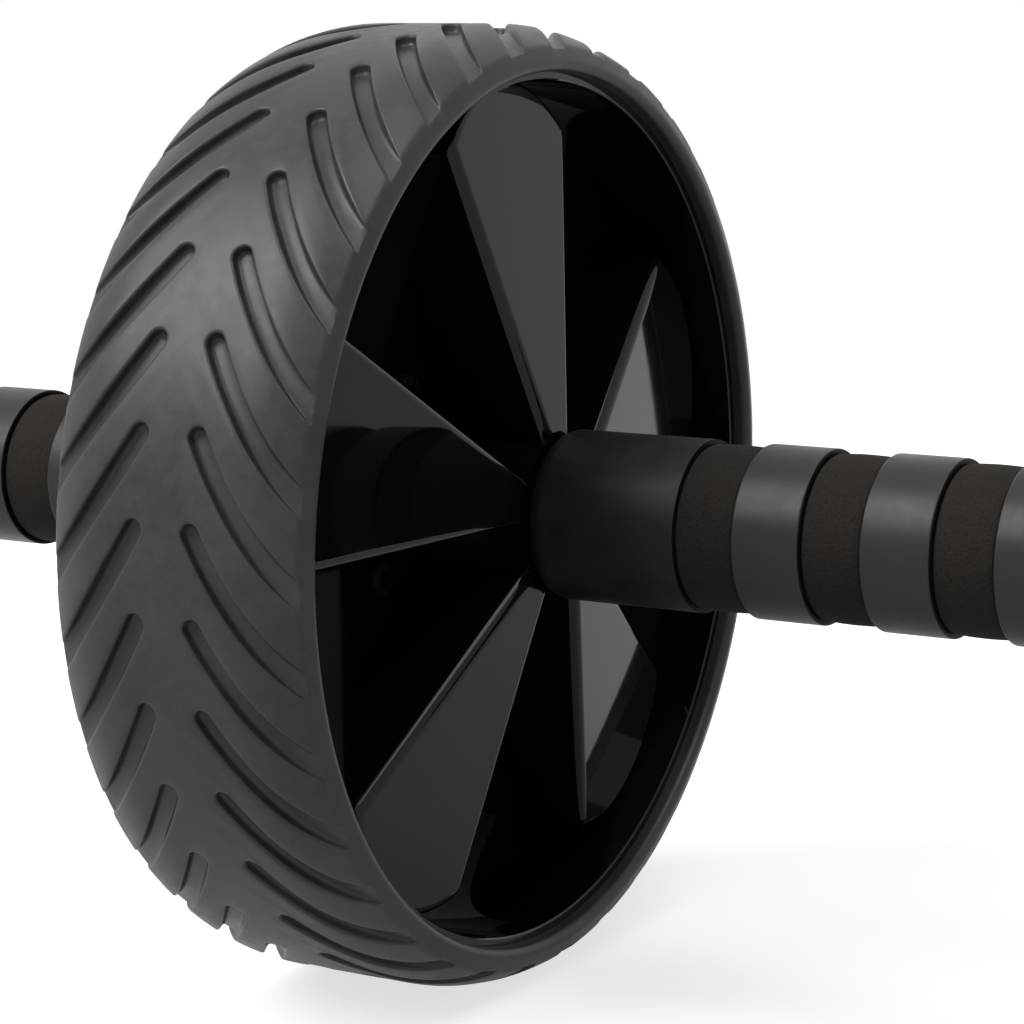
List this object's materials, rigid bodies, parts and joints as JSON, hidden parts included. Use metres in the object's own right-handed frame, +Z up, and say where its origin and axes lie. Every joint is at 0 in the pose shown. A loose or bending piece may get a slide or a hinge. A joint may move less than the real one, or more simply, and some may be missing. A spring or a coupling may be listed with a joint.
{
  "type": "ab wheel roller",
  "caption": "Ab roller: a wide rubber-tyred wheel with chevron tread and a spoked hub turns on an axle between two foam and plastic ring grips.",
  "frame": {"origin": "middle of the wheel, on the axle's centre line", "axes": "+X is the rolling direction, +Y runs along the axle to the left grip, +Z is up"},
  "size_m": [0.185, 0.329, 0.185],
  "materials": {
    "tyre_rubber": "satin",
    "hub_plastic": "gloss",
    "black_steel": "black oxide",
    "bush_nylon": "matte",
    "axle_steel": "turned",
    "core_plastic": "matte",
    "collar_rubber": "satin",
    "grip_foam": "open foam",
    "band_plastic": "satin",
    "cap_plastic": "satin"
  },
  "bodies": {
    "handle_bar": {"axle": "axle_steel", "thrust_washer_left": "axle_steel", "retaining_ring_left": "black_steel", "handle_core_left": "core_plastic", "collar_left": "collar_rubber", "foam_ring_left_1": "grip_foam", "grip_band_left_1": "band_plastic", "foam_ring_left_2": "grip_foam", "grip_band_left_2": "band_plastic", "foam_ring_left_3": "grip_foam", "grip_band_left_3": "band_plastic", "foam_ring_left_4": "grip_foam", "grip_band_left_4": "band_plastic", "end_cap_left": "cap_plastic", "end_screw_left": "black_steel", "end_washer_left": "axle_steel", "thrust_washer_right": "axle_steel", "retaining_ring_right": "black_steel", "handle_core_right": "core_plastic", "collar_right": "collar_rubber", "foam_ring_right_1": "grip_foam", "grip_band_right_1": "band_plastic", "foam_ring_right_2": "grip_foam", "grip_band_right_2": "band_plastic", "foam_ring_right_3": "grip_foam", "grip_band_right_3": "band_plastic", "foam_ring_right_4": "grip_foam", "grip_band_right_4": "band_plastic", "end_cap_right": "cap_plastic", "end_screw_right": "black_steel", "end_washer_right": "axle_steel"},
    "wheel": {"tyre": "tyre_rubber", "hub_half_left": "hub_plastic", "hub_half_right": "hub_plastic", "hub_screws": "black_steel", "bush_left": "bush_nylon", "bush_right": "bush_nylon"}
  },
  "joints": [
    {"name": "wheel_spin", "type": "hinge", "parent": "handle_bar", "child": "wheel", "pos_m": [0, 0, 0], "axis": [0, 1, 0], "continuous": true}
  ]
}
